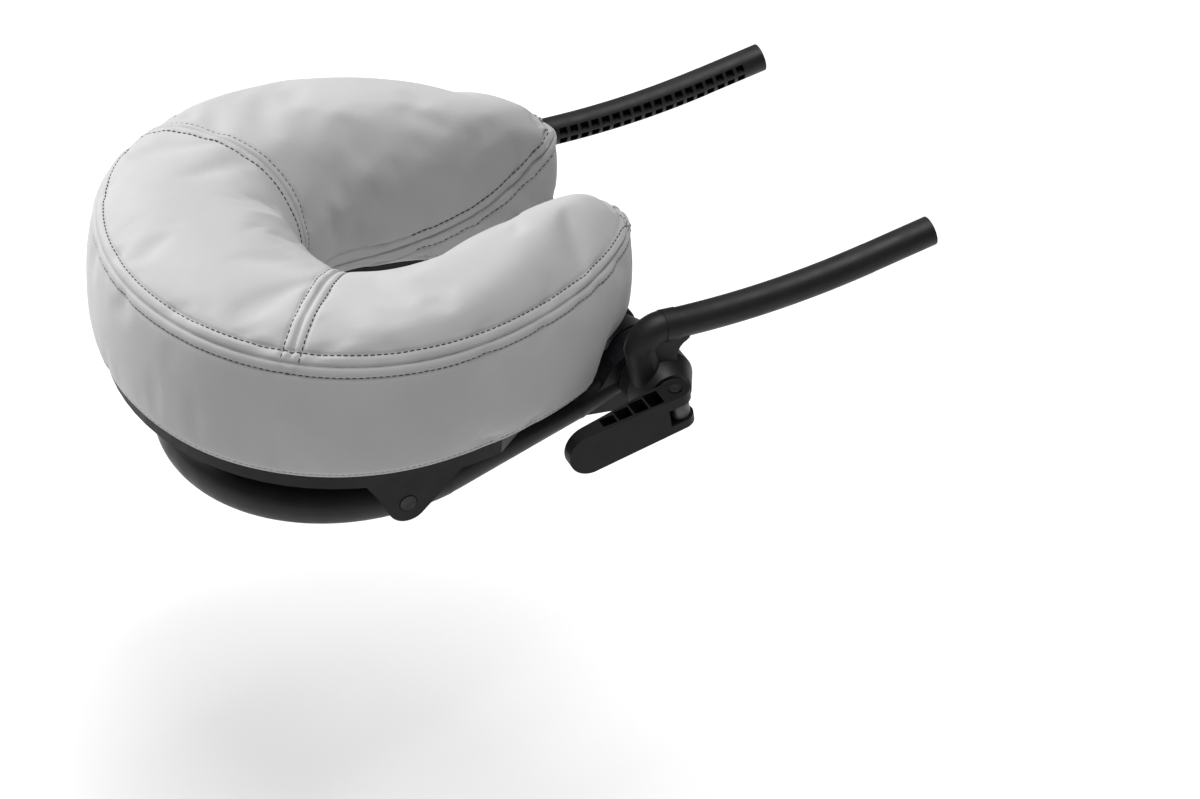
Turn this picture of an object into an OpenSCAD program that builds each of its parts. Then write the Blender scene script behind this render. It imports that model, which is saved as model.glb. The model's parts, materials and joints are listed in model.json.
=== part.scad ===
// Adjustable face cradle for a massage table: horseshoe cushion on a tilting
// platform, carried by a U-shaped base frame that is clamped between two arms.
// Millimetres. +Z up, +X towards the clamp lever, +Y towards the table.
// The shapes are drawn about the middle of the cushion's underside, and
// place() moves them so that the part's origin lies midway between the tips
// of the two posts that plug into the table.

/* [Posts] */
// Distance between the centre lines of the two posts
post_spacing = 216; // [206:1:230]
// Diameter of the round posts
post_d = 18; // [16:0.5:20]
// Radius of the gentle upward bend of each post
post_bend_r = 540; // [480:10:640]
// Slope of each post where it leaves its arm
post_lead_angle = 1; // [0:0.5:2]
// Angle through which each post bends
post_bend_angle = 13.5; // [12:0.5:15]
// Straight length at the tip of each post, which seats in the table
post_seat_len = 42; // [30:1:46]
// Number of moulded pockets in each of the two rows on a post
post_pocket_count = 19; // [8:1:20]

/* [Cushion] */
// Height of the cushion's side band, from underside to rim seam
band_h = 76; // [66:1:82]
// Height of the cushion's crown above its underside
crown_h = 97; // [86:1:100]
// Mean radius of the cushion's outline
cushion_r = 149.5; // [142:0.5:151]
// Radius of the wide front part of the face opening
face_hole_r = 51; // [46:1:54]
// Width of the gap between the cushion's two tips
tip_gap = 72; // [60:1:80]
// Thickness of the cover with its backing
cover_t = 2; // [1.5:0.5:3]

/* [Platform] */
// Thickness of the platform's top plate
plate_t = 3; // [2.5:0.5:4]
// Height of the platform's edge
rim_h = 11; // [9:1:12]
// Thickness of the platform's rim and webs
rim_t = 3; // [2.5:0.5:4]

/* [Frame] */
// Radius of the base frame's round front tube
frame_tube_r = 14; // [12:0.5:14.5]
// Radius of the frame's hubs
frame_hub_r = 20; // [16:0.5:20]
// Radius of the arms' hubs at their inner face
arm_hub_r = 21; // [19:0.5:22]

/* [Clamp] */
// Radius of the clamp rod
rod_r = 4; // [3.5:0.25:4.5]
// Length of the lever from its pin to the middle of its round tip
lever_reach = 60; // [56:1:62]
// Angle of the closed lever below horizontal
lever_slope = 13; // [8:1:18]

/* [Hidden] */

fit = 0.05;       // radial clearance of a running pin in its bore
seam_gap = 0.2;   // clearance between flat faces of pieces that turn on each other
tube_step = 0.1;  // step in radius where a straight tube leaves a bent one
big = 400;

// Pivot places in the side view, as [y, z]
hub_at = [151, -4];
front_pivot_at = [-12, -37];
upper_pivot_at = [92, -22];
lower_pivot_at = [115, -58];

// Post route: nearly level start, gentle bend, straight tip
post_x = post_spacing / 2;
post_r = post_d / 2;
post_start = [158, 35];
post_end_angle = post_lead_angle + post_bend_angle;
bend_centre = post_start + post_bend_r * [-sin(post_lead_angle), cos(post_lead_angle)];
bend_end = bend_centre + post_bend_r * [sin(post_end_angle), -cos(post_end_angle)];
post_tip = bend_end + post_seat_len * [cos(post_end_angle), sin(post_end_angle)];

// Stations along the clamp rod, from the middle outwards
yoke_end_x = 76;
frame_hub_in = 78.5;
frame_hub_out = 97;
arm_in = 99.5;
arm_out = arm_in + 24;
cam_plate_t = 2;
cam_r = 8.2;
cam_pin_x = arm_out + cam_plate_t + cam_r + seam_gap;

// Cushion outline: distance from the middle at angle a from the forehead end
function outline_r(a) = cushion_r - 8 * cos(a) + 8.2 * cos(2 * a) - 5.2 * cos(3 * a);
hole_centre_y = 22;
tip_round = 20;
tip_y = 152;
panel_t = 1.6;
tip_lift = 22;        // the tips are undercut to this height over the hubs
tip_lift_y = 119;

module place() {
    translate([0, -post_tip[0], -post_tip[1]]) children();
}

// Turns a flat side-view drawing (y, z) into a plate from x0 to x1
module side_plate(x0, x1) {
    translate([x0, 0, 0]) rotate([90, 0, 90]) linear_extrude(x1 - x0) children();
}

// Round bar along X through the point [y, z]
module x_bar(p, r, x0, x1, r_end = 0) {
    translate([x0, p[0], p[1]]) rotate([0, 90, 0])
        cylinder(h = x1 - x0, r1 = r, r2 = r_end > 0 ? r_end : r, $fn = 96);
}

// Tapered round bar from point p to point q
module bar(p, q, r0, r1) {
    d = q - p;
    len = norm(d);
    translate(p) rotate([0, acos(d[2] / len), atan2(d[1], d[0])])
        cylinder(h = len, r1 = r0, r2 = r1, $fn = 64);
}

// Draws its children at both sides, mirrored
module both_sides() {
    for (side = [0, 1]) mirror([side, 0, 0]) children();
}

// ---------- cushion ----------

module outline_2d() {
    intersection() {
        polygon([for (a = [0 : 5 : 355]) outline_r(a) * [sin(a), -cos(a)]]);
        translate([-big / 2, tip_y - big]) square(big);
    }
}

module hole_2d() {
    hull() {
        translate([0, hole_centre_y]) circle(r = face_hole_r, $fn = 48);
        translate([-tip_gap / 2, 175]) square([tip_gap, 1]);
    }
}

// Horseshoe plan, drawn in by inset, with its tips rounded to the radius tip_r
module horseshoe_2d(inset, tip_r = tip_round) {
    offset(r = tip_r, $fn = 40) offset(delta = -tip_r - inset) difference() {
        outline_2d();
        hole_2d();
    }
}

module horseshoe_layer(z0, z1, inset, tip_r = tip_round) {
    translate([0, 0, z0]) linear_extrude(z1 - z0) horseshoe_2d(inset, tip_r);
}

// Keeps the part of its children that lies forward of the hubs
module ahead_of_hubs(shrink = 0) {
    intersection() {
        children();
        translate([-big / 2, tip_lift_y - shrink - big, -big / 2]) cube(big);
    }
}

// Body of the cushion below its rim seam; the tips start higher, over the hubs
module cushion_body(z0, z1, shrink) {
    ahead_of_hubs(shrink) horseshoe_layer(z0, z1, shrink);
    horseshoe_layer(tip_lift + shrink, z1, shrink);
}

// Crown above the rim seam, in two steps
module top_panels() {
    color("lightgray") place() {
        horseshoe_layer(band_h, (band_h + crown_h) / 2, 6);
        horseshoe_layer(band_h, crown_h, 20, 12);
    }
}

module boxing_band() {
    color("lightgray") place() difference() {
        cushion_body(panel_t, band_h, 0);
        cushion_body(panel_t - 1, band_h + 1, cover_t);
    }
}

module foam_core() {
    color("khaki") place() cushion_body(panel_t + seam_gap, band_h - seam_gap, cover_t + seam_gap);
}

module underside_panel() {
    color("dimgray") place() ahead_of_hubs() horseshoe_layer(0, panel_t, 0);
}

// Outline of a hook or loop strip on the right-hand wing
strip_corners = [[98, 30], [122, 36], [104, 84], [82, 72]];

module strip(z0, z1) {
    translate([0, 0, z0]) linear_extrude(z1 - z0) polygon(strip_corners);
}

module loop_pad_right() {
    color("darkgray") place() strip(-1, 0);
}

module loop_pad_left() {
    color("darkgray") place() mirror([1, 0, 0]) strip(-1, 0);
}

module hook_strip_right() {
    color("black") place() strip(-2, -1);
}

module hook_strip_left() {
    color("black") place() mirror([1, 0, 0]) strip(-2, -1);
}

// ---------- platform ----------

plate_top = -1;
rim_low = plate_top - rim_h;
web_x = 56.5;
web_low = -31;
ear_x = 118.8;
ear_t = 7;
pivot_pin_r = 3;
platform_tip_y = 118;
screw_at = [104, -8];
screw_r = 2;
screw_head_r = 4;

// Plan of the platform: the cushion's outline, with its tips cut square and narrow
module platform_2d(inset) {
    offset(delta = -inset) intersection() {
        horseshoe_2d(4);
        polygon([
            [-big, -big], [big, -big], [big, 30], [132, 40], [78, 104], [74, platform_tip_y],
            [-74, platform_tip_y], [-78, 104], [-132, 40], [-big, 30]
        ]);
    }
}

// Hanging web beside the opening, with lightening holes that shrink to the rear
module platform_web() {
    difference() {
        side_plate(web_x, web_x + rim_t) polygon([
            [-18, plate_top - 1], [100, plate_top - 1], [100, upper_pivot_at[1]],
            [92, web_low], [84, web_low], [40, -28], [-4, -20]
        ]);
        for (hole = [[16, -13, 7], [42, -15, 6], [64, -16, 5]])
            x_bar([hole[0], hole[1]], hole[2], web_x - 1, web_x + rim_t + 1);
        x_bar(upper_pivot_at, pivot_pin_r, web_x - 1, web_x + rim_t + 1);
    }
}

// Gusset that hangs from the rim outboard of the frame and carries the front pivot
module platform_ear() {
    difference() {
        union() {
            side_plate(ear_x, ear_x + ear_t) polygon([
                [-50, plate_top - 1], [36, plate_top - 1], [28, rim_low],
                [front_pivot_at[0] + 9.6, front_pivot_at[1] - 8], [front_pivot_at[0] - 11, front_pivot_at[1] - 6],
                [-30, -30]
            ]);
            x_bar(front_pivot_at, 12.5, ear_x, ear_x + ear_t);
        }
        x_bar(front_pivot_at, pivot_pin_r + fit, ear_x - 1, ear_x + ear_t + 1);
        x_bar(front_pivot_at, 5.5, ear_x + ear_t - 2, ear_x + ear_t + 1);
    }
}

module platform() {
    color([0.16, 0.16, 0.17]) place() {
        difference() {
            translate([0, 0, rim_low]) linear_extrude(rim_h) platform_2d(0);
            translate([0, 0, rim_low - 1]) linear_extrude(rim_h - plate_t + 1) platform_2d(rim_t);
            both_sides() strip(-2, 5);
            both_sides() translate([58, 100, rim_low])
                linear_extrude(rim_h + 5) for (dx = [-3, 0, 3]) translate([dx, 0]) circle(r = 3, $fn = 48);
            both_sides() translate([screw_at[0], screw_at[1], rim_low]) cylinder(h = 30, r = screw_r, $fn = 48);
        }
        both_sides() difference() {
            translate([screw_at[0], screw_at[1], rim_low]) cylinder(h = rim_h - 1, r = 5, $fn = 48);
            translate([screw_at[0], screw_at[1], rim_low - 1]) cylinder(h = 30, r = screw_r, $fn = 48);
        }
        both_sides() platform_web();
        both_sides() platform_ear();
    }
}

module platform_screws() {
    color("silver") place() both_sides() translate([screw_at[0], screw_at[1], 0]) {
        translate([0, 0, plate_top]) cylinder(h = 0.9, r = screw_head_r, $fn = 48);
        translate([0, 0, rim_low]) cylinder(h = rim_h, r = screw_r, $fn = 48);
    }
}

// ---------- tilt linkage ----------

strut_in = 50.5;
strut_out = 56;
leg_in = 44;
leg_out = 50;
strut_r = 7.5;
lower_play = 2;       // play that lets the lower pivot follow the linkage

module upper_pivot_pins() {
    color("silver") place() both_sides() {
        x_bar(upper_pivot_at, pivot_pin_r, leg_out - 0.5, web_x + rim_t + 1.5);
        difference() {
            x_bar(upper_pivot_at, 5, leg_out - 2, leg_out + 0.3);
            x_bar(upper_pivot_at, 2.2, leg_out - 3, leg_out - 0.8);
        }
    }
}

// Flat strut with a ladder of pockets and a small finger tab at its lower end
module strut() {
    run = lower_pivot_at - upper_pivot_at;
    len = norm(run);
    tilt = atan2(run[1], run[0]);
    difference() {
        union() {
            translate([0, upper_pivot_at[0], upper_pivot_at[1]]) rotate([tilt, 0, 0])
                side_plate(strut_in + 0.4, strut_out - 0.4) translate([0, -strut_r + 1])
                    square([len, 2 * strut_r - 2]);
            x_bar(upper_pivot_at, strut_r, strut_in, strut_out);
            x_bar(lower_pivot_at, strut_r, strut_in, strut_out);
            translate([0, lower_pivot_at[0], lower_pivot_at[1]]) rotate([tilt, 0, 0])
                side_plate(strut_in + 1, strut_out - 1) translate([2, -strut_r + 0.4]) square([6.6, 5]);
        }
        translate([0, upper_pivot_at[0], upper_pivot_at[1]]) rotate([tilt, 0, 0])
            for (k = [0 : 3]) side_plate(strut_in - 1, strut_in + 3.5)
                translate([9 + k * 7.4, -4]) square([5.4, 8]);
        x_bar(upper_pivot_at, pivot_pin_r + fit, strut_in - 1, strut_out + 1);
        x_bar(lower_pivot_at, pivot_pin_r, strut_in - 1, strut_out + 1);
    }
}

module strut_right() {
    color([0.14, 0.14, 0.15]) place() strut();
}

module strut_left() {
    color([0.14, 0.14, 0.15]) place() mirror([1, 0, 0]) strut();
}

module lower_pivot_pins() {
    color("silver") place() both_sides() {
        x_bar(lower_pivot_at, pivot_pin_r, leg_in - 1.5, strut_out);
        x_bar(lower_pivot_at, 6.2, leg_in - 2.5, leg_in - 0.5);
    }
}

// Cross tube with conical ends on the clamp rod, and two legs down to the struts
module yoke() {
    color([0.15, 0.15, 0.16]) place() difference() {
        union() {
            x_bar(hub_at, 10, -leg_out, leg_out);
            both_sides() x_bar(hub_at, 10, leg_out - 1, yoke_end_x, 19);
            both_sides() side_plate(leg_in, leg_out) difference() {
                hull() {
                    translate(hub_at) circle(r = 13, $fn = 32);
                    translate(lower_pivot_at) circle(r = 8, $fn = 32);
                }
                translate((hub_at + lower_pivot_at) / 2) circle(r = 5, $fn = 48);
            }
        }
        x_bar(hub_at, rod_r + fit, -big / 2, big / 2);
        x_bar(lower_pivot_at, pivot_pin_r + lower_play, -big / 2, big / 2);
    }
}

module washer_pair(x0, x1, r) {
    both_sides() difference() {
        x_bar(hub_at, r, x0, x1);
        x_bar(hub_at, rod_r + 0.3, x0 - 1, x1 + 1);
    }
}

module yoke_washers() {
    color("dimgray") place() washer_pair(yoke_end_x + seam_gap, frame_hub_in, 18);
}

module frame_washers() {
    color("dimgray") place() washer_pair(frame_hub_out + seam_gap, arm_in, 18);
}

// ---------- base frame ----------

u_r = 104;             // radius of the U's centre line
u_centre_y = 2;
u_tilt = 9.8;          // the U drops towards the forehead end
u_rear = [89, 108];    // where the side arms narrow, in plan
arm_tip_r = 9;
side_arm_end = [(frame_hub_in + frame_hub_out) / 2, 143, -8];
u_drop = -59.5 + (u_centre_y + 102) * tan(u_tilt);

// The U's rear point in its own tilted plane, and the angle past a half circle
// at which the arc runs straight towards it
u_rear_flat = [u_rear[0], (u_rear[1] - u_centre_y) / cos(u_tilt)];
u_extra = atan2(u_rear_flat[1], u_rear_flat[0]) - acos(u_r / norm(u_rear_flat));

function u_point(x, y) = [x, y, u_drop + (y - u_centre_y) * tan(u_tilt)];

// Side-view outline of the deeper end of the side arm where it meets its hub
module side_arm_flare_2d() {
    polygon([[110, -28], [133, -29.5], [151, -23.6], [151, -4], [140, 12], [128, 4], [121, -10], [110, -20]]);
}

// The side arm starts just inside the end of the arc and narrows towards the hub
module frame_side() {
    rear = u_point(u_rear[0], u_rear[1]);
    start_flat = u_r * [cos(u_extra), sin(u_extra)] + [sin(u_extra), -cos(u_extra)];
    start = u_point(start_flat[0], u_centre_y + start_flat[1] * cos(u_tilt));
    bar(start, rear, frame_tube_r - tube_step, arm_tip_r);
    translate(rear) sphere(r = arm_tip_r + 0.3, $fn = 48);
    bar(rear, side_arm_end, arm_tip_r, arm_tip_r - 0.8);
    side_plate(frame_hub_in + 2, frame_hub_out - 1.5) side_arm_flare_2d();
    x_bar(hub_at, frame_hub_r, frame_hub_in, frame_hub_out);
    x_bar(front_pivot_at, 9, 92, ear_x - seam_gap);
}

// Ribbed pockets open to the inner face of each side arm
module frame_pockets() {
    for (k = [0 : 6]) translate(u_point(u_r - 20 - 1.6 * k, 12 + k * 13)) rotate([u_tilt, 0, 5])
        translate([0, -5, -5.5]) cube([14, 10, 11]);
}

module base_frame() {
    color([0.17, 0.17, 0.18]) place() difference() {
        union() {
            translate([0, u_centre_y, u_drop]) rotate([u_tilt, 0, 0]) rotate([0, 0, 180 - u_extra])
                rotate_extrude(angle = 180 + 2 * u_extra, $fn = 180)
                    translate([u_r, 0]) circle(r = frame_tube_r, $fn = 64);
            both_sides() frame_side();
        }
        both_sides() frame_pockets();
        both_sides() x_bar(hub_at, rod_r + fit, frame_hub_in - 20, frame_hub_out + 1);
        both_sides() x_bar(front_pivot_at, pivot_pin_r, 96, ear_x + 1);
    }
}

module front_pivot_pins() {
    color("silver") place() both_sides() {
        x_bar(front_pivot_at, pivot_pin_r, 96, ear_x + ear_t - 1);
        x_bar(front_pivot_at, 5, ear_x + ear_t - 1.7, ear_x + ear_t + 0.3);
    }
}

// ---------- arms ----------

pocket_pitch = 7.4;
hub_rim_x = arm_in + 11;
arm_boss_r = 14;

elbow_r = 9.3;         // radius of the elbow that turns the post down to the hub
elbow_bend_r = 13;
elbow_at = [150, post_start[1] - elbow_bend_r - 0.2];
neck_foot = [143, -4];

// Side-view outline of the web that fills the elbow's inner corner
module elbow_web_2d() {
    polygon(concat(
        [[138, -4], [137, 22], [150, 33], [166, 33], [165, 28]],
        arc([169, 17], 11, 120, 190), [[160, 4]]
    ));
}

// Elbow: a bend down from the post, and a straight run into the hub
module elbow() {
    translate([post_x, elbow_at[0], elbow_at[1]]) rotate([90, 0, 90]) rotate([0, 0, 90])
        rotate_extrude(angle = 90, $fn = 180) translate([elbow_bend_r, 0]) circle(r = elbow_r, $fn = 64);
    translate([post_x, elbow_at[0] - 0.5, elbow_at[1] + elbow_bend_r]) rotate([-90, 0, 0])
        cylinder(h = 9, r = elbow_r + 0.4, $fn = 64);
    translate([post_x, elbow_at[0] - elbow_bend_r, elbow_at[1]]) sphere(r = elbow_r + 0.2, $fn = 64);
    bar([post_x, elbow_at[0] - elbow_bend_r, elbow_at[1]], [post_x + 3, neck_foot[0], neck_foot[1]],
        elbow_r, elbow_r + 1);
    side_plate(post_x - 6, post_x + 7) elbow_web_2d();
}

// Point on the post's centre line at distance s from its start, as [y, z, slope]
function post_point(s) = let (bent = min(s / post_bend_r * 180 / PI, post_bend_angle))
    let (extra = s - bent * PI / 180 * post_bend_r, a = post_lead_angle + bent)
    concat(bend_centre + post_bend_r * [sin(a), -cos(a)] + extra * [cos(a), sin(a)], [a]);

module post_pockets() {
    for (k = [0 : post_pocket_count - 1]) {
        p = post_point(18 + k * pocket_pitch);
        translate([post_x, p[0], p[1]]) rotate([p[2], 0, 0]) {
            translate([-post_r - 1, -2.7, 1]) cube([6.5, 5.2, 4.6]);
            translate([-post_r - 1, -2.7, -5.6]) cube([6.5, 5.2, 4.6]);
        }
    }
}

module arm() {
    difference() {
        union() {
            x_bar(hub_at, arm_hub_r, arm_in, hub_rim_x);
            x_bar(hub_at, arm_hub_r, hub_rim_x, arm_out, arm_boss_r);
            elbow();
            translate([post_x, bend_centre[0], bend_centre[1]]) rotate([90, 0, 90])
                rotate([0, 0, post_lead_angle - 90]) rotate_extrude(angle = post_bend_angle, $fn = 360)
                    translate([post_bend_r, 0]) circle(r = post_r + tube_step, $fn = 64);
            translate([post_x, bend_end[0], bend_end[1]]) rotate([post_end_angle - 90, 0, 0])
                translate([0, 0, -1]) cylinder(h = post_seat_len + 1, r = post_r, $fn = 64);
        }
        post_pockets();
        x_bar(hub_at, rod_r + fit, arm_in - 1, arm_out + 1);
    }
}

module right_arm() {
    color([0.15, 0.15, 0.16]) place() arm();
}

module left_arm() {
    color([0.15, 0.15, 0.16]) place() mirror([1, 0, 0]) arm();
}

// ---------- clamp ----------

lever_t = 7.5;
lever_half_h = 13.5;
lever_wall = 1.4;
cam_pin_r = 2.5;
eye_r = 6.5;
eye_half_h = 5.5;

// Lever frame: origin on the cam pin, +Y away from the table, +Z up the pin
module lever_frame() {
    translate([cam_pin_x, hub_at[0], hub_at[1]]) rotate([lever_slope, 0, 0]) children();
}

module clamp_rod() {
    color("silver") place() difference() {
        union() {
            x_bar(hub_at, rod_r, -arm_out - 12, cam_pin_x - 3);
            lever_frame() translate([0, 0, -eye_half_h]) cylinder(h = 2 * eye_half_h, r = eye_r, $fn = 64);
        }
        lever_frame() translate([0, 0, -20]) cylinder(h = 40, r = cam_pin_r, $fn = 64);
    }
}

module rod_washer() {
    color("silver") place() difference() {
        x_bar(hub_at, 11, -arm_out - 2, -arm_out);
        x_bar(hub_at, rod_r + 0.3, -arm_out - 3, -arm_out + 1);
    }
}

module rod_nut() {
    color("silver") place() difference() {
        translate([-arm_out - 9, hub_at[0], hub_at[1]]) rotate([0, 90, 0]) cylinder(h = 7, r = 7.5, $fn = 6);
        x_bar(hub_at, rod_r, -arm_out - 10, -arm_out - 1);
    }
}

module cam_plate() {
    color("dimgray") place() difference() {
        x_bar(hub_at, 11.5, arm_out, arm_out + cam_plate_t);
        x_bar(hub_at, rod_r + 0.3, arm_out - 1, arm_out + cam_plate_t + 1);
    }
}

module cam_pin() {
    color("silver") place() lever_frame() {
        translate([0, 0, -lever_half_h + 2]) cylinder(h = 2 * lever_half_h - 3, r = cam_pin_r, $fn = 64);
        translate([0, 0, lever_half_h - 1.8]) cylinder(h = 1.6, r = 3.6, $fn = 64);
    }
}

// Inner edge of the lever's plan at the point y along it
function lever_inner_x(y) = -cam_r + 1 + (y + 14) / (14 - lever_reach) * (cam_r - 1);

// Points of an arc about centre c, from angle a0 to a1
function arc(c, r, a0, a1) = [for (k = [0 : 16]) let (a = a0 + (a1 - a0) * k / 16) c + r * [cos(a), sin(a)]];

// Plan of the lever: round cam at the pin, tapering forward to a thin blade
module lever_plan_2d() {
    polygon(concat(arc([0, 0], cam_r, 0, 200), [
        [lever_inner_x(-14), -14], [lever_inner_x(-lever_reach), -lever_reach],
        [1.5, -lever_reach - lever_half_h - 2], [1.5 + lever_t, -lever_reach - lever_half_h - 2],
        [2 + lever_t, -lever_reach]
    ]));
}

// Side of the lever: deep blade with a half-round tip
module lever_side_2d() {
    polygon(concat(
        [[11, -lever_half_h + 2.5], [11, lever_half_h - 1]],
        arc([-lever_reach, 0], lever_half_h, 90, 270)
    ));
}

// Open pockets along the lever's top edge, divided by thin ribs
module lever_pockets() {
    for (y = [-19, -29, -39, -49]) let (x = lever_inner_x(y) + lever_wall)
        translate([x, y, 0]) cube([lever_t - 0.9 - x, 8.8, lever_half_h + 1]);
}

module cam_lever() {
    color([0.13, 0.13, 0.14]) place() lever_frame() difference() {
        intersection() {
            translate([0, 0, -20]) linear_extrude(40) lever_plan_2d();
            side_plate(-20, 20) lever_side_2d();
        }
        lever_pockets();
        translate([-30, -9, -eye_half_h - 0.4]) cube([60, 30, 2 * eye_half_h + 0.8]);
        translate([0, 0, -20]) cylinder(h = 40, r = cam_pin_r + fit, $fn = 64);
        translate([0, 0, lever_half_h - 2.2]) cylinder(h = 10, r = 4, $fn = 64);
    }
}

top_panels();
boxing_band();
foam_core();
underside_panel();
loop_pad_left();
loop_pad_right();
platform();
hook_strip_left();
hook_strip_right();
platform_screws();
upper_pivot_pins();
strut_left();
strut_right();
lower_pivot_pins();
yoke();
yoke_washers();
base_frame();
front_pivot_pins();
frame_washers();
left_arm();
right_arm();
clamp_rod();
rod_washer();
rod_nut();
cam_plate();
cam_pin();
cam_lever();
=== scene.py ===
import json
import math

import bpy
import numpy as np
from mathutils import Matrix, Vector, noise
from mathutils.bvhtree import BVHTree
from mathutils.kdtree import KDTree


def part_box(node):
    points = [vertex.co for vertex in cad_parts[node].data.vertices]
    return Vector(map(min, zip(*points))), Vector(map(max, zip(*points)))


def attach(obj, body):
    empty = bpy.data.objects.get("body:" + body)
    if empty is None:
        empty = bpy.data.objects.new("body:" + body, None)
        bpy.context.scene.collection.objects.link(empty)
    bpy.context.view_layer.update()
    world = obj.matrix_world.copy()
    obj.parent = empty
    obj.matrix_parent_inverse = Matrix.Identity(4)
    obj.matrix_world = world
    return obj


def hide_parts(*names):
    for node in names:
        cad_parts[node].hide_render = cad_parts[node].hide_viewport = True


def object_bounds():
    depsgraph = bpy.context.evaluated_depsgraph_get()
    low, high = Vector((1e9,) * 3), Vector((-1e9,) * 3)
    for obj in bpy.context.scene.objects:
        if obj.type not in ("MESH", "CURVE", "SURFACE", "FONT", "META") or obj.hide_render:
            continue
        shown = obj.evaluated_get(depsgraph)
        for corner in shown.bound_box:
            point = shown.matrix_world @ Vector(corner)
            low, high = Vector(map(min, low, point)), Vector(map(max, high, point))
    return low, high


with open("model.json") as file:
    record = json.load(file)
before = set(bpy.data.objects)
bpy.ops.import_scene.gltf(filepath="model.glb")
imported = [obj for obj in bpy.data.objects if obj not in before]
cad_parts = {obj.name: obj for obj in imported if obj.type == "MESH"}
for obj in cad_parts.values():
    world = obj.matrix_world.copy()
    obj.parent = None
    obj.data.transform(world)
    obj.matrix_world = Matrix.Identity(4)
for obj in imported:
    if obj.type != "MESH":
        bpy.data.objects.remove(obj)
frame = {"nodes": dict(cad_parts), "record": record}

cad_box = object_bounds()

MM = 0.001

# The cushion is drawn in millimetres about the middle of its underside.
TIP_Y = 152
cushion_origin = Vector((0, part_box("boxing_band")[1].y - TIP_Y * MM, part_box("underside_panel")[0].z))


def to_frame(points):
    """Drawing points in millimetres, as points in the row frame in metres."""
    return np.asarray(points, float) * MM + np.array(cushion_origin)


# ---------------------------------------------------------------- plan of the cushion

RIM_OUTLINE = [149.15, -9.15, 4.8, -5.4, 1.0]     # radius of the rim seam, as a cosine series
BASE_OUTLINE = [151.25, -9.75, 7.7, -6.4, 0.0]    # radius of the bottom edge
HOLE_RADIUS = 51.5
HOLE_Y = 22
HOLE_TURN = 96           # degrees from its front over which the opening is round
GAP_HALF = 36.5
CORNER_BLUR = 11
SEAM_T = 0.375                                   # where the cross seams lie along the cushion
SEAM_ANGLE = math.radians(57)                    # the same place as an angle from the front


def blur(values, sigma):
    """Gaussian blur along an evenly spaced open curve."""
    reach = int(4 * sigma)
    kernel = np.exp(-0.5 * (np.arange(-reach, reach + 1) / sigma) ** 2)
    kernel /= kernel.sum()
    padded = np.pad(values, ((reach, reach), (0, 0)), mode="reflect", reflect_type="odd")
    return np.stack([np.convolve(padded[:, k], kernel, "valid") for k in range(values.shape[1])], 1)


def lengths(points):
    return np.concatenate([[0], np.cumsum(np.linalg.norm(np.diff(points, axis=0), axis=1))])


def even(points, step):
    s = lengths(points)
    at = np.linspace(0, s[-1], int(s[-1] / step) + 1)
    return np.stack([np.interp(at, s, points[:, k]) for k in range(points.shape[1])], 1)


class Plan:
    """Plan curves of the right half of the horseshoe: outer edge, tip and inner edge."""

    def __init__(self, outline, tip_y):
        phi = np.radians(np.arange(0, 175, 0.25))
        r = sum(c * np.cos(k * phi) for k, c in enumerate(outline))
        outer = np.stack([r * np.sin(phi), -r * np.cos(phi)], 1)
        stop = np.argmax(outer[:, 1] > tip_y)
        outer = outer[:stop]
        a = np.radians(np.arange(0, HOLE_TURN))
        hole = np.stack([HOLE_RADIUS * np.sin(a), HOLE_Y - HOLE_RADIUS * np.cos(a)], 1)
        inner = np.concatenate([hole, [[GAP_HALF, tip_y]]])
        corner_out, corner_in = outer[-1], inner[-1]
        whole = even(np.concatenate([outer, [corner_in], inner[::-1]]), 1.0)
        marks = [lengths(outer)[-1], lengths(outer)[-1] + np.linalg.norm(corner_in - corner_out)]
        more = 60            # points of the other half that the blur is given at either end
        other_half = whole * np.array([[-1, 1]])
        mirrored = np.concatenate([other_half[more:0:-1], whole, other_half[-2:-more - 2:-1]])
        smooth = blur(mirrored, CORNER_BLUR)[more:-more]
        s = lengths(smooth)
        scale = s[-1] / lengths(whole)[-1]
        self.s, self.points = s, smooth
        self.a, self.b, self.end = marks[0] * scale, marks[1] * scale, s[-1]
        seam_out = smooth[:int(marks[0])]
        self.seam_a = s[np.argmin(abs(np.arctan2(seam_out[:, 0], -seam_out[:, 1]) - SEAM_ANGLE))]
        rim = np.array([np.interp(self.seam_a, s, smooth[:, k]) for k in (0, 1)])
        towards = (rim - [0, HOLE_Y]) / np.linalg.norm(rim - [0, HOLE_Y])
        rest = np.arange(int(marks[1]) + 1, len(smooth))
        aim = [0, HOLE_Y] + HOLE_RADIUS * towards
        self.seam_b = s[rest[np.argmin(np.linalg.norm(smooth[rest] - aim, axis=1))]]

    def at(self, s):
        return np.stack([np.interp(s, self.s, self.points[:, k]) for k in (0, 1)], -1)

    def outer(self, t):
        s = np.interp(abs(t), [0, SEAM_T, 1], [0, self.seam_a, self.a])
        return self.at(s) * np.stack([np.where(t < 0, -1, 1), np.ones_like(t)], -1), s

    def inner(self, t):
        s = np.interp(abs(t), [0, SEAM_T, 1], [self.end, self.seam_b, self.b])
        return self.at(s) * np.stack([np.where(t < 0, -1, 1), np.ones_like(t)], -1), s

    def tip(self, w):
        s = self.a + (self.b - self.a) * w
        return self.at(s), s


RIM_TIP_Y = 155.3
BASE_TIP_Y = 156.3
rim_plan = Plan(RIM_OUTLINE, RIM_TIP_Y)
base_plan = Plan(BASE_OUTLINE, BASE_TIP_Y)

# ---------------------------------------------------------------- heights of the cushion

RIM_Z = 75
TIP_RIM_Z = 77
# Height of the crown along the cushion, from the forehead (0) to the tips (1)
CROWN = [(0, 91.5), (0.22, 91), (0.34, 90), (0.45, 91), (0.55, 94), (0.66, 97.5), (0.78, 99.5),
         (0.9, 98), (1, 93)]
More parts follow.
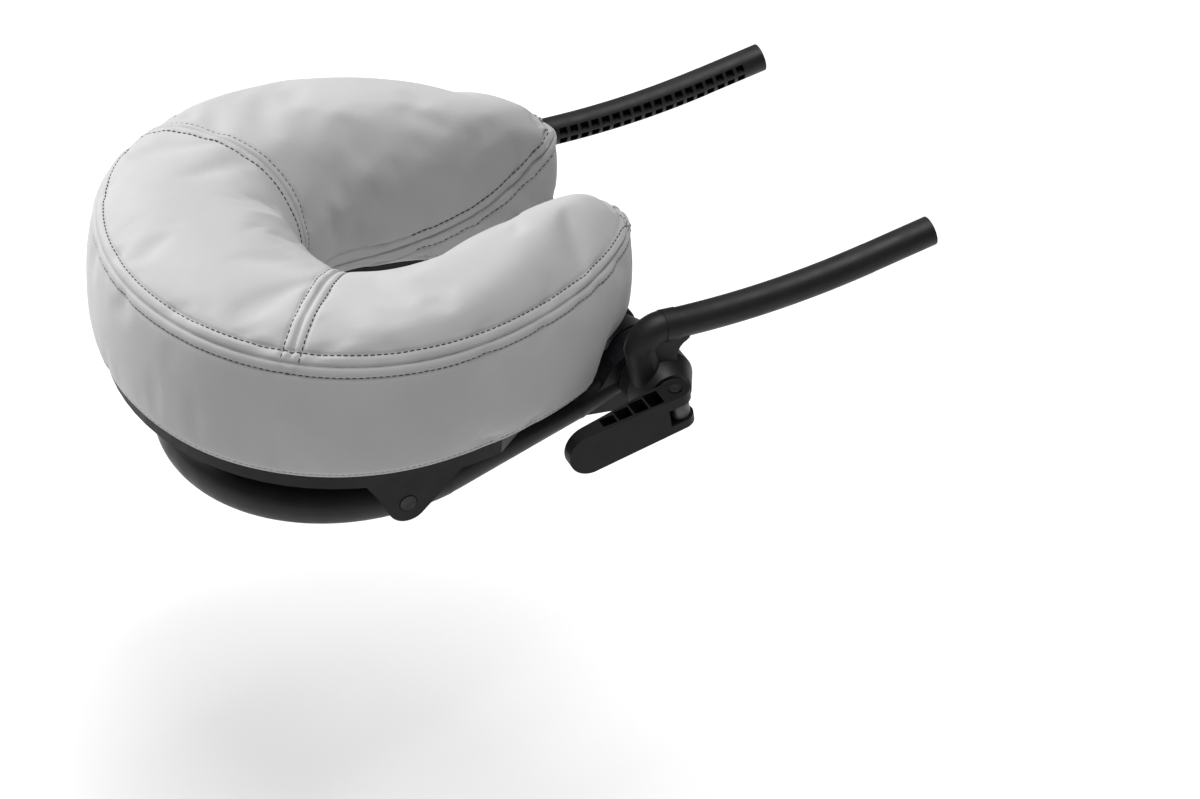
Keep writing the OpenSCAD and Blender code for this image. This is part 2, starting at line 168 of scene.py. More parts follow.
# Width over which the top swells up from the rim, along the cushion and at its tips
RISE = [(0, 46), (0.3, 42), (0.45, 34), (0.6, 38), (0.7, 45), (0.8, 57), (0.9, 68), (1, 72)]
TIP_RISE = 62
# Width of the roll into the face opening: broad in front, tight towards the tips
ROLL = [(0, 34), (0.2, 46), (0.375, 60), (0.5, 52), (0.62, 36), (0.75, 24), (0.88, 17), (1, 12)]
TIP_LIFT = 22            # the tips are undercut over the hubs
TIP_LIFT_Y = 108         # where the undercut starts
TIP_LIFT_RUN = 17        # and how far along it takes to reach its full height
TIP_BEND = 60            # distance from a tip within which the grid bends to its outline
TIP_SETTLE = 14          # and within which the top comes down to its rim seam
# The rim seam's descent along the inner wall: distance from the tip, height
DESCENT = [(-20, TIP_RIM_Z), (0, 76.5), (6, 73), (12, 66.5), (23, 54), (35, 42), (49, 31),
           (69, 21.5), (87, 15.5), (106, 10.5), (130, 7), (160, 5.5), (400, 5.5)]


def smooth_step(x):
    x = np.clip(x, 0, 1)
    return x * x * (3 - 2 * x)


def swell(x):
    """The rounded rise of the stuffed top, from 0 at a seam to 1 where it is full."""
    return 1 - (1 - np.clip(x, 0, 1)) ** 2.4


def seam_z(s):
    """Height of the rim seam at distance s along the half loop, from the front of the outer edge."""
    grid = np.arange(-80, rim_plan.end + 81, 1.0)
    down = np.interp(grid - rim_plan.b, *zip(*DESCENT))
    up = TIP_RIM_Z - RIM_Z
    z = np.where(grid < rim_plan.b, RIM_Z + up * smooth_step((grid - rim_plan.a + 70) / 70), down)
    return np.interp(s, grid[40:-40], blur(z[:, None], 5)[40:-40, 0])


def under_z(y):
    """Height of the underside, which lifts over the hubs at its rear."""
    return TIP_LIFT * smooth_step((y - TIP_LIFT_Y) / TIP_LIFT_RUN)


crown_grid = np.linspace(0, 1, 201)
crown_line = blur(np.interp(crown_grid, *zip(*CROWN))[:, None], 6)[:, 0]


def crown(t):
    return np.interp(abs(t), crown_grid, crown_line)


def roll_width(t):
    return np.interp(abs(t), *zip(*ROLL))


FULL_BAND = 76           # height of the side band where it is full
OUTER_BULGE = 3.2        # how far the full side band bulges outside
INNER_BULGE = 1.0        # and inside the face opening
OUTSIDE_RADIUS = 90      # further than this from the opening's centre is the outside
EDGE_ROUND = 4           # rounding of the bottom edge


def section(t, w):
    """Points of the top surface at station t, at the shares w of the way across it.

    From the outer rim the top swells up, rolls over into the face opening and runs down the
    inner wall to the rim seam there. Near the tip it bends round to follow the tip's outline.
    """
    edge_out, s_out = rim_plan.outer(t)
    edge_in, s_in = rim_plan.inner(t)
    z_out, z_in = seam_z(s_out), seam_z(s_in)
    width = np.linalg.norm(edge_in - edge_out)
    from_tip = (1 - abs(t)) * rim_plan.a
    top = TIP_RIM_Z + (crown(t) - TIP_RIM_Z) * swell(from_tip / TIP_RISE)
    rise = min(np.interp(abs(t), *zip(*RISE)), 0.85 * width)
    roll = min(roll_width(t), 0.55 * width)
    drop = min(roll, top - z_in)
    turn = np.linspace(0, math.pi / 2, 60)
    d = np.concatenate([np.linspace(0, width - roll, 80)[:-1], width - roll * (1 - np.sin(turn))])
    e = np.clip((width - d) / roll, 0, 1)
    z = z_out + (top - z_out) * swell(d / rise) - drop * (1 - (1 - (1 - e) ** 2.1) ** (1 / 2.1))
    wall = np.linspace(z[-1], z_in, 30)[1:]
    profile = np.stack([np.append(d, np.full(29, width)), np.append(z, wall)], 1)
    s = lengths(profile)
    share = w * s[-1]
    q = np.interp(share, s, profile[:, 0]) / width
    height = np.interp(share, s, profile[:, 1])
    plan = edge_out + (edge_in - edge_out) * q[:, None]
    side = np.array([-1 if t < 0 else 1, 1])
    tip, tip_s = rim_plan.tip(q)
    tip_out, tip_in = rim_plan.outer(np.array(1.0))[0], rim_plan.inner(np.array(1.0))[0]
    bow = tip - (tip_out + (tip_in - tip_out) * q[:, None])
    near_tip = max(0.0, 1 - from_tip / TIP_BEND) ** 2
    plan = plan + bow * side * near_tip
    height = height + (seam_z(tip_s) - height) * max(0.0, 1 - from_tip / TIP_SETTLE) ** 3
    return np.column_stack([plan, height])


def build(t_lines, w_lines, v_lines):
    """Vertices of the top grid, the band below each point of its edge, and the underside."""
    nt, nw = len(t_lines), len(w_lines)
    top = np.stack([section(t, w_lines) for t in t_lines])
    loop = ([(i, 0) for i in range(nt)] + [(nt - 1, j) for j in range(1, nw)]
            + [(i, nw - 1) for i in range(nt - 2, -1, -1)] + [(0, j) for j in range(nw - 2, 0, -1)])
    seam = np.array([top[k] for k in loop])
    base = []
    for i, j in loop:
        t, w = t_lines[i], w_lines[j]
        side = np.array([-1 if t < 0 else 1, 1])
        if j == 0:
            base.append(base_plan.outer(np.array(t))[0])
        elif j == nw - 1:
            base.append(base_plan.inner(np.array(t))[0])
        else:
            base.append(base_plan.tip(np.array(w))[0] * side)
    base = np.array(base)
    along = np.roll(base, -1, 0) - np.roll(base, 1, 0)
    out = np.stack([along[:, 1], -along[:, 0]], 1) / np.linalg.norm(along, axis=1)[:, None]
    height = seam[:, 2] - under_z(base[:, 1])
    outside = np.hypot(base[:, 0], base[:, 1] - HOLE_Y) > OUTSIDE_RADIUS
    bulge = np.where(outside, OUTER_BULGE, INNER_BULGE) * height / FULL_BAND
    round_r = np.minimum(EDGE_ROUND, 0.4 * height)
    band = []
    for v in v_lines:
        plan = seam[:, :2] + (base - seam[:, :2]) * v
        plan = plan + out * (bulge * math.sin(math.pi * v) ** 0.75)[:, None]
        z = seam[:, 2] - height * v
        low = np.clip((round_r - (z - under_z(base[:, 1]))) / round_r, 0, 1)
        plan = plan - out * (round_r * (1 - np.sqrt(1 - low ** 2)))[:, None]
        band.append(np.column_stack([plan, z]))
    band = np.stack(band, 1)
    under = np.zeros_like(top)
    rim = {k: n for n, k in enumerate(loop)}
    for i in range(nt):
        a, b = band[rim[(i, 0)], -1], band[rim[(i, nw - 1)], -1]
        under[i] = a + (b - a) * w_lines[:, None]
    for end in (0, nt - 1):
        row = np.array([band[rim[(end, j)], -1] for j in range(nw)])
        bow = row - under[end]
        for i in range(nt):
            near = max(0.0, 1 - (1 - abs(t_lines[i])) * rim_plan.a / TIP_BEND)
            if (i < nt / 2) == (end == 0):
                under[i] += bow * near ** 2
    under[..., 2] = under_z(under[..., 1])
    return top, loop, band, under


def surface(top, loop, band, under=None):
    """One closed mesh of those grids: vertices, faces, and which faces are underside."""
    nt, nw = top.shape[:2]
    nl, nv = band.shape[:2]
    points = [top.reshape(-1, 3), band[:, 1:].reshape(-1, 3)]
    first = nt * nw

    def at(n, k):
        n %= nl
        return loop[n][0] * nw + loop[n][1] if k == 0 else first + n * (nv - 1) + k - 1

    faces = [(i * nw + j, (i + 1) * nw + j, (i + 1) * nw + j + 1, i * nw + j + 1)
             for i in range(nt - 1) for j in range(nw - 1)]
    faces += [(at(n, k), at(n, k + 1), at(n + 1, k + 1), at(n + 1, k))
              for n in range(nl) for k in range(nv - 1)]
    covered = len(faces)
    if under is not None:
        edge = {k: at(n, nv - 1) for n, k in enumerate(loop)}
        number = np.zeros((nt, nw), int)
        inside = []
        for i in range(nt):
            for j in range(nw):
                if (i, j) in edge:
                    number[i, j] = edge[(i, j)]
                else:
                    number[i, j] = first + nl * (nv - 1) + len(inside)
                    inside.append(under[i, j])
        points.append(np.array(inside))
        faces += [(number[i, j], number[i, j + 1], number[i + 1, j + 1], number[i + 1, j])
                  for i in range(nt - 1) for j in range(nw - 1)]
    return np.concatenate(points), faces, covered


def new_mesh(name, points, faces, smooth=True):
    mesh = bpy.data.meshes.new(name)
    mesh.from_pydata([tuple(map(float, p)) for p in points], [], [tuple(map(int, f)) for f in faces])
    mesh.update()
    if smooth:
        mesh.shade_smooth()
    obj = bpy.data.objects.new(name, mesh)
    bpy.context.scene.collection.objects.link(obj)
    return obj


# ---------------------------------------------------------------- the stuffing, simulated

SIM_FRAMES = 20
PUFF_CAP = 3.0           # furthest that a point may swell, in mm
COARSE_T = np.linspace(-1, 1, 129)
COARSE_W = np.linspace(0, 1, 33)
COARSE_V = np.linspace(0, 1, 13)


def simulate(points, faces, held):
    """How far each point of the cover moves when air pressure fills it, held along its seams."""
    obj = new_mesh("swelling_cover", to_frame(points), faces)
    group = obj.vertex_groups.new(name="held")
    group.add([int(k) for k in held], 1.0, "REPLACE")
    cloth = obj.modifiers.new("cloth", "CLOTH")
    cloth.collision_settings.use_collision = False
    s = cloth.settings
    s.vertex_group_mass = "held"
    s.quality = 6
    s.mass = 0.3
    s.tension_stiffness = s.compression_stiffness = 20
    s.shear_stiffness = 8
    s.bending_stiffness = 2
    s.shrink_min = -0.012
    s.use_pressure = True
    s.uniform_pressure_force = 4
    s.effector_weights.gravity = 0
    scene = bpy.context.scene
    for f in range(1, SIM_FRAMES + 1):
        scene.frame_set(f)
    done = obj.evaluated_get(bpy.context.evaluated_depsgraph_get())
    moved = np.array([v.co for v in done.data.vertices]) / MM
    start = to_frame(points) / MM
    scene.frame_set(1)
    bpy.data.objects.remove(obj)
    move = moved - start
    size = np.linalg.norm(move, axis=1, keepdims=True) + 1e-9
    return move / size * PUFF_CAP * np.tanh(size / PUFF_CAP)


def spread(values, lines, axis):
    """Cubic interpolation of evenly spaced values on 0..1, at the places in lines."""
    values = np.moveaxis(values, axis, 0)
    n = len(values)
    x = np.clip(lines, 0, 1) * (n - 1)
    k = np.minimum(x.astype(int), n - 2)
    f = (x - k).reshape((-1,) + (1,) * (values.ndim - 1))
    p = [values[np.clip(k + o, 0, n - 1)] for o in (-1, 0, 1, 2)]
    made = p[1] + 0.5 * f * (p[2] - p[0] + f * (2 * p[0] - 5 * p[1] + 4 * p[2] - p[3]
                                              + f * (3 * (p[1] - p[2]) + p[3] - p[0])))
    return np.moveaxis(made, 0, axis)


def swelling():
    """Movement of the coarse cover's top grid and band, as grids."""
    top, loop, band, _ = build(COARSE_T, COARSE_W, COARSE_V)
    points, faces, _ = surface(top, loop, band)
    nt, nw = top.shape[:2]
    nl, nv = band.shape[:2]
    # Held along the rim seam, the two cross seams and the bottom edge
    seam_rows = [np.argmin(abs(COARSE_T - t)) for t in (-SEAM_T, SEAM_T)]
    held = {i * nw + j for i, j in loop} | {i * nw + j for i in seam_rows for j in range(nw)}
    held |= {nt * nw + n * (nv - 1) + nv - 2 for n in range(nl)}
    move = simulate(points, faces, sorted(held))
    top_move = move[:nt * nw].reshape(nt, nw, 3)
    band_move = np.zeros_like(band)
    band_move[:, 1:] = move[nt * nw:].reshape(nl, nv - 1, 3)
    return top_move, band_move


# ---------------------------------------------------------------- the cover in full detail

RIM_ROW = 6.4            # distance of the top-stitching from the rim seam
CROSS_ROW = 5.1          # distance of the top-stitching from a cross seam
HEM_ROW = 3.6            # height of the hem's stitching above the bottom edge
CROSS_REACH = 0.93       # share of the way across that the cross rows run
ROW_BAND = 14            # the rim rows need a side band taller than this
HEM_BAND = 15            # and so does the hem's row


def graded(stops):
    """Places from one stop to the next, at the step given for each stretch."""
    made = [stops[0][0]]
    for (a, _), (b, step) in zip(stops, stops[1:]):
        made += list(np.linspace(a, b, max(2, round((b - a) / step) + 1))[1:])
    return np.array(made)


half_t = graded([(0, 0), (0.335, 0.0105), (0.352, 0.005), (0.398, 0.0023), (0.415, 0.005),
                 (0.945, 0.0105), (0.965, 0.005), (1, 0.0025)])
FINE_T = np.concatenate([-half_t[:0:-1], half_t])
FINE_W = graded([(0, 0), (0.055, 0.005), (0.08, 0.0085), (0.92, 0.021), (0.945, 0.0085), (1, 0.005)])
FINE_V = graded([(0, 0), (0.125, 0.0135), (0.2, 0.025), (0.85, 0.05), (0.93, 0.02), (1, 0.01)])


def normals_of(points, faces):
    quads = np.array(faces)
    a, b, c, d = (points[quads[:, k]] for k in range(4))
    n = np.cross(c - a, d - b)
    made = np.zeros_like(points)
    for k in range(4):
        np.add.at(made, quads[:, k], n)
    return made / (np.linalg.norm(made, axis=1, keepdims=True) + 1e-12)


def tree_of(points):
    tree = KDTree(len(points))
    for n, p in enumerate(points):
        tree.insert(p, n)
    tree.balance()
    return tree


def distances(tree, points):
    found = [tree.find(p) for p in points]
    return np.array([f[2] for f in found]), np.array([f[1] for f in found])


# Relief of the cover, in millimetres
SEAM_DEPTH = 1.2
SEAM_WIDTH = 0.9
LAP_HEIGHT = 0.4
ROW_DEPTH = 0.8
HEM_DEPTH = 0.55
PUCKER = 0.32            # short puckers along the stitched row
PULL = 0.3               # drag lines just inside it
BROAD = 0.3              # broad unevenness of the filling


def groove(d, row):
    """Relief of a lapped seam at distance d: the seam, a padded lap, and the stitched row."""
    lap = np.where(d < row, np.sin(math.pi * np.clip(d / row, 0, 1)), 0)
    stitched = ROW_DEPTH * np.exp(-((d - row) / 1.1) ** 2)
    beyond = 0.35 * np.exp(-((d - row) / 4.0) ** 2) * (d > row)
    return LAP_HEIGHT * lap - SEAM_DEPTH * np.exp(-(d / SEAM_WIDTH) ** 2) - stitched - beyond


def ridge(points, a, b, width, height):
    """A soft fold from point a to point b, higher in its middle."""
    a, b = np.array(a, float), np.array(b, float)
    share = np.clip((points - a) @ (b - a) / ((b - a) @ (b - a)), 0, 1)
    away = np.linalg.norm(points - (a + share[:, None] * (b - a)), axis=1)
    return height * np.exp(-(away / width) ** 2) * np.sin(math.pi * (0.12 + 0.76 * share))


# Soft folds on the inner slopes: ends, width, height
FOLDS = [
    ((-56, 22, 64), (-50, 34, 28), 3.6, 1.5),
    ((-56, 34, 68), (-48, 46, 38), 3.0, -1.5),
    ((-54, 4, 60), (-50, 16, 24), 4.0, -1.3),
    ((-50, 60, 68), (-44, 66, 42), 4.0, 0.8),
    ((58, 14, 72), (49, 30, 34), 4.5, -1.6),
    ((60, 30, 78), (48, 46, 40), 4.0, 1.5),
    ((52, 58, 76), (43, 64, 48), 5.0, -1.0),
    ((-20, -38, 78), (-12, -30, 40), 5.0, -0.9),
    ((16, -38, 78), (22, -27, 44), 5.0, 0.8),
]


def detail(points, faces, seam_loop, cross_lines, hem):
    """The cover's relief: seams, laps, puckers beside the stitching, and soft folds."""
    n = normals_of(points, faces)
    rim_d, rim_k = distances(tree_of(seam_loop), points)
    cross_d, _ = distances(tree_of(cross_lines), points)
    hem_d, _ = distances(tree_of(hem), points)
    lift = groove(rim_d, RIM_ROW)
    near_cross = cross_d < 12
    off_rim = smooth_step((rim_d - 1.0) / 4.0)
    lift[near_cross] += (groove(cross_d, CROSS_ROW) * off_rim)[near_cross]
    lift -= HEM_DEPTH * np.exp(-(hem_d / SEAM_WIDTH) ** 2)
    pucker = np.array([noise.noise(Vector((0.19 * k, 3.1, 0.0))) for k in rim_k])
    lift += PUCKER * pucker * np.exp(-((rim_d - RIM_ROW) / 3.5) ** 2)
    pull = np.array([noise.noise(Vector(p) * 0.045) for p in points])
    lift += PULL * pull * np.exp(-((rim_d - RIM_ROW - 8) / 9) ** 2)
    broad = np.array([noise.noise(Vector(p) * 0.021 + Vector((7, 3, 1))) for p in points])
    lift += BROAD * broad * smooth_step((rim_d - 8) / 18)
    for a, b, width, height in FOLDS:
        lift += ridge(points, a, b, width, height)
    return points + n * lift[:, None]


def hem_points_of(band):
    """The band's points nearest to the hem's stitching, one for each place round the cushion."""
    height = band[:, :, 2] - under_z(band[:, -1:, 1])
    return band[np.arange(len(band)), np.argmin(abs(height - HEM_ROW), axis=1)]


def make_cover():
    """The whole cover: the fine grids moved by the simulation, then given their relief."""
    top_move, band_move = swelling()
    top, loop, band, under = build(FINE_T, FINE_W, FINE_V)
    nw_c, nt_c = len(COARSE_W), len(COARSE_T)
    t_share = (FINE_T + 1) / 2
    top = top + spread(spread(top_move, t_share, 0), FINE_W, 1)
    # The band's movement goes round the top's four sides, each with its own spacing.
    sides = [(0, nt_c, t_share), (nt_c - 1, nw_c, FINE_W),
             (nt_c + nw_c - 2, nt_c, 1 - t_share[::-1]), (2 * nt_c + nw_c - 3, nw_c, 1 - FINE_W[::-1])]
    around = np.concatenate([band_move, band_move[:1]])
    parts = []
    for start, count, share in sides:
        stretch = spread(around[start:start + count], share, 0)
        parts.append(stretch[:-1])
    band = band + spread(np.concatenate(parts), FINE_V, 1)
    points, faces, covered = surface(top, loop, band, under)
    seam = even(np.concatenate([band[:, 0], band[:1, 0]]), 0.7)
    crosses = [even(top[np.argmin(abs(FINE_T - t))], 0.7) for t in (-SEAM_T, SEAM_T)]
    hem = hem_points_of(band)[band[:, 0, 2] - band[:, -1, 2] > HEM_BAND]
    edge = np.unique(np.array(faces[covered:]))
    shaped = detail(points, faces, seam, np.concatenate(crosses), hem)
    shaped[edge] = points[edge]
    return shaped, faces, covered, band, top


cover_points, cover_faces, cover_count, band_grid, top_grid = make_cover()
cushion = new_mesh("horseshoe_cushion", to_frame(cover_points), cover_faces)
for k, polygon in enumerate(cushion.data.polygons):
    polygon.material_index = 0 if k < cover_count else 1
cover_tree = BVHTree.FromPolygons([tuple(p) for p in cover_points], cover_faces)


# ---------------------------------------------------------------- stitching

def on_cover(points):
    """The nearest points of the cover, and its normals there."""
    found = [cover_tree.find_nearest(Vector(p)) for p in points]
    return np.array([f[0] for f in found]), np.array([f[1] for f in found])


def row_beside(line, towards, distance):
    """A row on the cover at a distance from a seam line, on the side that towards points to."""
    along = np.gradient(line, axis=0)
    along /= np.linalg.norm(along, axis=1, keepdims=True)
    side = towards - (towards * along).sum(1, keepdims=True) * along
    side /= np.linalg.norm(side, axis=1, keepdims=True)
    row, _ = on_cover(line + side * distance)
    away = row - line
    away *= distance / (np.linalg.norm(away, axis=1, keepdims=True) + 1e-9)
    row, _ = on_cover(line + away)
    return blur(even(row, 1.0), 1.5)


def stitches(rows, pitch, length, radius, lift):
    """Thread in separate stitches along each row, each dipping into the cover at its ends."""
    sides, rings = 6, 6
    bend = np.linspace(-1, 1, rings)
    points, faces = [], []
    for row in rows:
        s = lengths(row)
        count = max(1, int((s[-1] - length) / pitch))
        for k in range(count):
            at = k * pitch + length * np.linspace(0, 1, rings) + 0.3 * pitch
            centre = np.stack([np.interp(at, s, row[:, i]) for i in range(3)], 1)
            centre, normal = on_cover(centre)
            centre = centre + normal * (lift - (lift + radius) * abs(bend) ** 3)[:, None]
            run = centre[-1] - centre[0]
            run /= np.linalg.norm(run)
            across = np.cross(normal, run)
            across /= np.linalg.norm(across, axis=1, keepdims=True)
            up = np.cross(run, across)
            first = len(points)
            for r in range(rings):
                thick = radius * (1 - 0.55 * abs(bend[r]) ** 4)
                for a in np.linspace(0, 2 * math.pi, sides, endpoint=False):
                    points.append(centre[r] + thick * (math.cos(a) * across[r] + 0.8 * math.sin(a) * up[r]))
            for r in range(rings - 1):
                for a in range(sides):
                    b = (a + 1) % sides
                    faces.append((first + r * sides + a, first + r * sides + b,
                                  first + (r + 1) * sides + b, first + (r + 1) * sides + a))
            faces.append(tuple(first + a for a in reversed(range(sides))))
            faces.append(tuple(first + (rings - 1) * sides + a for a in range(sides)))
    return points, faces


def where_taller(least):
    """Places round the cushion, in order, where its side band is taller than this."""
    tall = band_grid[:, 0, 2] - band_grid[:, -1, 2] > least
    count = len(tall)
    start = np.flatnonzero(~tall)[-1] + 1
    return [(start + k) % count for k in range(count) if tall[(start + k) % count]]


def stitch_rows():
    """The rows beside the rim seam and beside both cross seams."""
    seam = band_grid[:, 0]
    nt, nw = top_grid.shape[:2]
    inward = np.concatenate([
        top_grid[:, 6] - top_grid[:, 0],
        (top_grid[-7] - top_grid[-1])[1:],
        (top_grid[:, -7] - top_grid[:, -1])[nt - 2::-1],
        (top_grid[6] - top_grid[0])[nw - 2:0:-1],
    ])
    downward = band_grid[:, 6] - band_grid[:, 0]
    order = where_taller(ROW_BAND)
    upper = row_beside(seam[order], blur(inward[order], 6), RIM_ROW)
    lower = row_beside(seam[order], blur(downward[order], 6), RIM_ROW)
    rows = [upper, lower]
    for t in (-SEAM_T, SEAM_T):
        k = np.argmin(abs(FINE_T - t))
        line = top_grid[k][:int(CROSS_REACH * nw)]
        for step in (-4, 4):
            rows.append(row_beside(line, top_grid[k + step][:len(line)] - line, CROSS_ROW))
    return rows


thread_points, thread_faces = stitches(stitch_rows(), pitch=3.6, length=3.25, radius=0.36, lift=0.12)
thread = new_mesh("top_stitching", to_frame(thread_points), thread_faces)


def hem_rows():
    """The row just above the bottom edge."""
    line = hem_points_of(band_grid)[where_taller(HEM_BAND)]
    return [blur(even(line, 1.0), 2)]


hem_points, hem_faces = stitches(hem_rows(), pitch=3.6, length=2.9, radius=0.3, lift=0.05)
hem_thread = new_mesh("hem_stitching", to_frame(hem_points), hem_faces)

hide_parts("top_panels", "boxing_band", "foam_core", "underside_panel")
for piece in (cushion, thread, hem_thread):
    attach(piece, "platform")


# ---------------------------------------------------------------- materials

class Shader:
    """A small helper for node materials in object space."""

    def __init__(self, name, **fixed):
        self.material = bpy.data.materials.new(name)
        self.material.use_nodes = True
        self.tree = self.material.node_tree
        self.shader = self.tree.nodes["Principled BSDF"]
        for socket, value in fixed.items():
            self.shader.inputs[socket.replace("_", " ")].default_value = value
        self.place = self.add("ShaderNodeTexCoord").outputs["Object"]

    def add(self, kind, **settings):
        node = self.tree.nodes.new(kind)
        for key, value in settings.items():
            if key in node.inputs:
                node.inputs[key].default_value = value
            else:
                setattr(node, key, value)
        return node

    def link(self, a, b):
        self.tree.links.new(a, b)

    def noise(self, scale, detail=3, rough=0.5):
        node = self.add("ShaderNodeTexNoise", Scale=scale, Detail=detail, Roughness=rough)
        self.link(self.place, node.inputs["Vector"])
        return node.outputs["Fac"]

    def cells(self, scale):
        node = self.add("ShaderNodeTexVoronoi", Scale=scale)
        self.link(self.place, node.inputs["Vector"])
        return node.outputs["Distance"]

    def ramp(self, value, stops):
        node = self.add("ShaderNodeValToRGB")
        ramp = node.color_ramp
        while len(ramp.elements) < len(stops):
            ramp.elements.new(0.5)
        for element, (at, colour) in zip(ramp.elements, stops):
            element.position = at
            element.color = (*colour, 1) if len(colour) == 3 else colour
        self.link(value, node.inputs["Fac"])
        return node.outputs["Color"]

    def span(self, value, low, high, a=0.0, b=1.0):
        node = self.add("ShaderNodeMapRange")
        for key, number in (("From Min", a), ("From Max", b), ("To Min", low), ("To Max", high)):
            node.inputs[key].default_value = number
        self.link(value, node.inputs["Value"])
        return node.outputs["Result"]

    def sum(self, a, b):
        node = self.add("ShaderNodeMath", operation="ADD")
        self.link(a, node.inputs[0])
        self.link(b, node.inputs[1])
        return node.outputs[0]

    def bump(self, height, strength, distance):
        node = self.add("ShaderNodeBump")
        node.inputs["Strength"].default_value = strength
        node.inputs["Distance"].default_value = distance
        self.link(height, node.inputs["Height"])
        self.link(node.outputs["Normal"], self.shader.inputs["Normal"])

    def use(self, colour=None, rough=None):
        if colour is not None:
            self.link(colour, self.shader.inputs["Base Color"])
        if rough is not None:
            self.link(rough, self.shader.inputs["Roughness"])
        return self.material


def leatherette():
    s = Shader("light_grey_leatherette", Sheen_Weight=0.10, Sheen_Roughness=0.5, Specular_IOR_Level=0.22)
    mottle = s.noise(14, 4, 0.6)
    grain = s.sum(s.span(s.cells(900), 0, 0.6), s.span(s.noise(1900, 2), 0, 0.4))
    colour = s.ramp(mottle, [(0.3, (0.420, 0.425, 0.420)), (0.7, (0.462, 0.467, 0.461))])
    s.bump(grain, 0.35, 0.0002)
    return s.use(colour, s.span(s.noise(60, 4), 0.60, 0.74, 0.3, 0.7))


def lining():
    s = Shader("dark_lining", Specular_IOR_Level=0.2)
    colour = s.ramp(s.noise(500, 3), [(0.3, (0.02, 0.02, 0.022)), (0.7, (0.045, 0.045, 0.048))])
    s.bump(s.noise(1400, 2), 0.3, 0.0002)
    return s.use(colour, s.span(s.noise(90), 0.75, 0.9))


def thread_look(name, dark, light):
    s = Shader(name, Specular_IOR_Level=0.25, Sheen_Weight=0.2)
    colour = s.ramp(s.noise(1200, 2), [(0.3, dark), (0.7, light)])
    s.bump(s.noise(5000, 1), 0.4, 0.0001)
    return s.use(colour, s.span(s.noise(700), 0.6, 0.8))


def plastic(name, dark, light, rough, grain=0.10, scale=1500, shine=0.2):
    s = Shader(name, Specular_IOR_Level=shine)
    colour = s.ramp(s.noise(35, 5, 0.6), [(0.3, dark), (0.72, light)])
    texture = s.sum(s.span(s.cells(scale), 0, 0.7), s.span(s.noise(scale * 2, 2), 0, 0.3))
    s.bump(texture, grain, 0.0002)
    return s.use(colour, s.span(s.noise(80, 4), rough - 0.06, rough + 0.08, 0.3, 0.7))


def metal(name, dark, light, rough):
    s = Shader(name, Metallic=1.0)
    colour = s.ramp(s.noise(160, 4, 0.6), [(0.3, dark), (0.7, light)])
    s.bump(s.noise(900, 3), 0.08, 0.0001)
    return s.use(colour, s.span(s.noise(300, 4), rough - 0.08, rough + 0.12, 0.3, 0.7))


def pile(name, dark, light, scale):
    s = Shader(name, Specular_IOR_Level=0.3, Sheen_Weight=0.3)
    cells = s.cells(scale)
    colour = s.ramp(cells, [(0.1, dark), (0.6, light)])
    s.bump(cells, 0.9, 0.0006)
    return s.use(colour, s.span(s.noise(400), 0.65, 0.9))


LOOKS = {
    "platform_plastic": plastic("platform_moulding", (0.010, 0.010, 0.011), (0.016, 0.016, 0.017), 0.50),
    "frame_plastic": plastic("frame_moulding", (0.010, 0.010, 0.012), (0.016, 0.017, 0.020), 0.44,
                             grain=0.08, scale=1800, shine=0.26),
    "arm_plastic": plastic("arm_moulding", (0.009, 0.009, 0.009), (0.014, 0.014, 0.015), 0.48,
                           grain=0.16, scale=1300, shine=0.32),
    "link_plastic": plastic("link_moulding", (0.008, 0.008, 0.009), (0.013, 0.013, 0.014), 0.50),
    "lever_plastic": plastic("lever_moulding", (0.007, 0.007, 0.008), (0.011, 0.011, 0.012), 0.46,
                             grain=0.08, scale=1800),
    "washer": plastic("washer_rubber", (0.018, 0.018, 0.018), (0.032, 0.032, 0.032), 0.70),
    "pin_dark": metal("blackened_steel", (0.03, 0.03, 0.032), (0.06, 0.06, 0.063), 0.45),
    "zinc": metal("dull_steel", (0.07, 0.07, 0.072), (0.13, 0.13, 0.13), 0.46),
    "hook": pile("hook_tape", (0.006, 0.006, 0.007), (0.035, 0.035, 0.038), 1500),
    "loop": pile("loop_tape", (0.03, 0.03, 0.032), (0.11, 0.11, 0.115), 1100),
    "underside": lining(),
}
slot_of = {part["node"]: part["material_slot"] for part in frame["record"]["subparts"]}
for name, node in frame["nodes"].items():
    look = LOOKS.get(slot_of[name])
    if look is not None:
        for k in range(max(1, len(node.material_slots))):
            if node.material_slots:
                node.material_slots[k].material = look
            else:
                node.data.materials.append(look)

cushion.data.materials.append(leatherette())
cushion.data.materials.append(lining())
thread.data.materials.append(thread_look("charcoal_thread", (0.020, 0.019, 0.020), (0.050, 0.048, 0.050)))
hem_thread.data.materials.append(thread_look("grey_thread", (0.32, 0.32, 0.32), (0.46, 0.46, 0.46)))


# ---------------------------------------------------------------- floor, light and camera

FLOOR_DROP = 0.26        # the cradle hangs from its posts, so the floor lies below it
FLOOR_HALF = 12


def floor_look():
    s = Shader("pale_floor", Specular_IOR_Level=0.1)
    colour = s.ramp(s.noise(1.5, 2), [(0.3, (0.90, 0.90, 0.90)), (0.7, (0.93, 0.93, 0.93))])
    return s.use(colour, s.span(s.noise(3), 0.85, 0.95))


floor_z = cad_box[0].z - FLOOR_DROP
corners = [(-1, -1), (1, -1), (1, 1), (-1, 1)]
floor = new_mesh("floor", [(x * FLOOR_HALF, y * FLOOR_HALF, floor_z) for x, y in corners],
                 [(0, 1, 2, 3)], smooth=False)
floor.data.materials.append(floor_look())

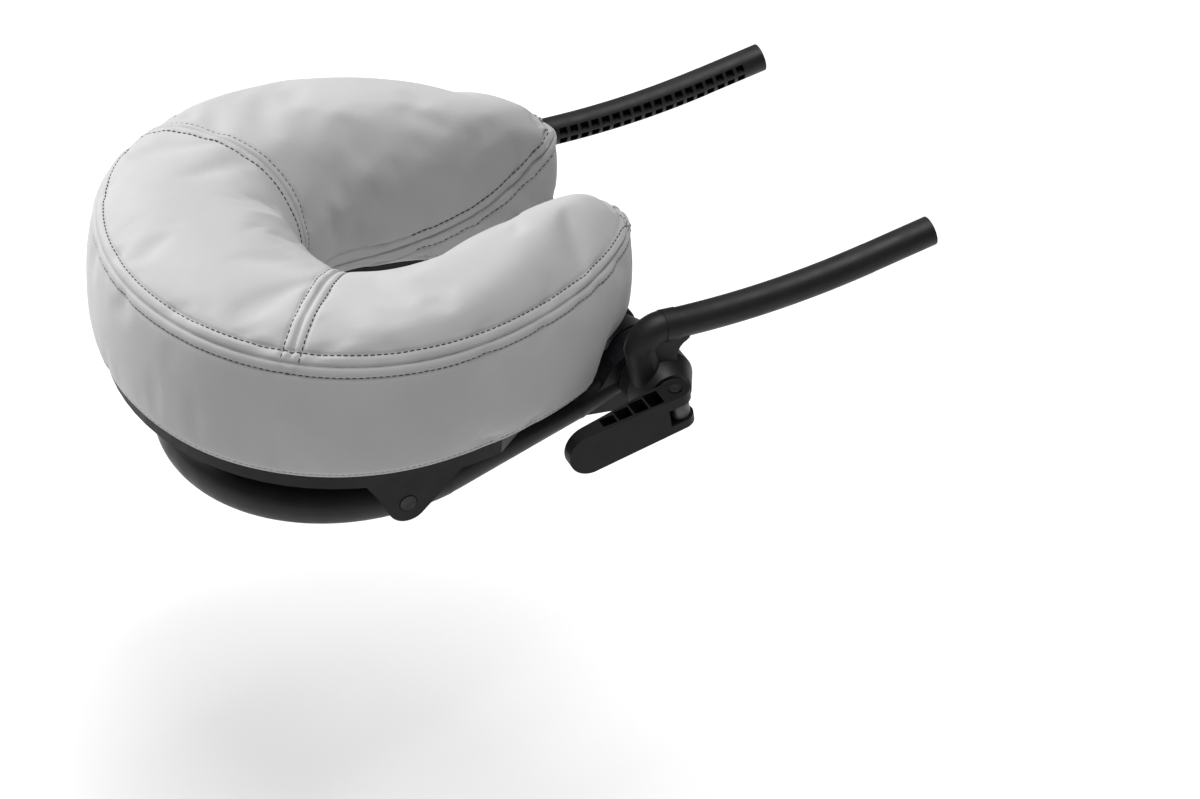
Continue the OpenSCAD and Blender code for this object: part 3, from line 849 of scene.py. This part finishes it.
world = bpy.data.worlds.new("studio")
bpy.context.scene.world = world
world.use_nodes = True
world.node_tree.nodes["Background"].inputs["Color"].default_value = (1.0, 1.0, 1.0, 1)
world.node_tree.nodes["Background"].inputs["Strength"].default_value = 0.14


def softbox(name, place, size, power):
    light = bpy.data.lights.new(name, "AREA")
    light.shape = "RECTANGLE"
    light.size, light.size_y = size
    light.energy = power
    lamp = bpy.data.objects.new(name, light)
    bpy.context.scene.collection.objects.link(lamp)
    lamp.location = place
    aim = Vector(cushion_origin) - Vector(place)
    lamp.rotation_euler = aim.to_track_quat("-Z", "Y").to_euler()


softbox("key", (-2.5, -1.8, 1.7), (1.6, 1.2), 120)
softbox("overhead", (0.3, -0.2, 5.0), (3.2, 3.2), 216)

# The camera stands to the cushion's right and front, well above it, and is turned aside and
# down from it, so that the cushion lies in the picture's upper left.
CAMERA_AZIMUTH = math.radians(67.994)
CAMERA_HEIGHT = math.radians(34.862)
CAMERA_ROLL = math.radians(1.342)
CAMERA_ASIDE = math.radians(4.9745)
CAMERA_DOWN = math.radians(1.4332)
CAMERA_DISTANCE = 1.7386
SENSOR = 36
LENS = 88.518

camera = bpy.data.objects.new("camera", bpy.data.cameras.new("camera"))
bpy.context.scene.collection.objects.link(camera)
camera.data.sensor_width = SENSOR
camera.data.lens = LENS
back = Vector((math.sin(CAMERA_AZIMUTH) * math.cos(CAMERA_HEIGHT),
               -math.cos(CAMERA_AZIMUTH) * math.cos(CAMERA_HEIGHT), math.sin(CAMERA_HEIGHT)))
right = Vector((math.cos(CAMERA_AZIMUTH), math.sin(CAMERA_AZIMUTH), 0))
camera.location = cushion_origin + back * CAMERA_DISTANCE
level = Matrix((right, back.cross(right), back)).transposed()
rolled = level @ Matrix.Rotation(CAMERA_ROLL, 3, "Z")
turned = rolled @ Matrix.Rotation(-CAMERA_ASIDE, 3, "Y") @ Matrix.Rotation(-CAMERA_DOWN, 3, "X")
camera.rotation_euler = turned.to_euler()
camera.data.clip_end = 30
bpy.context.scene.camera = camera
bpy.context.scene.view_settings.view_transform = "Standard"
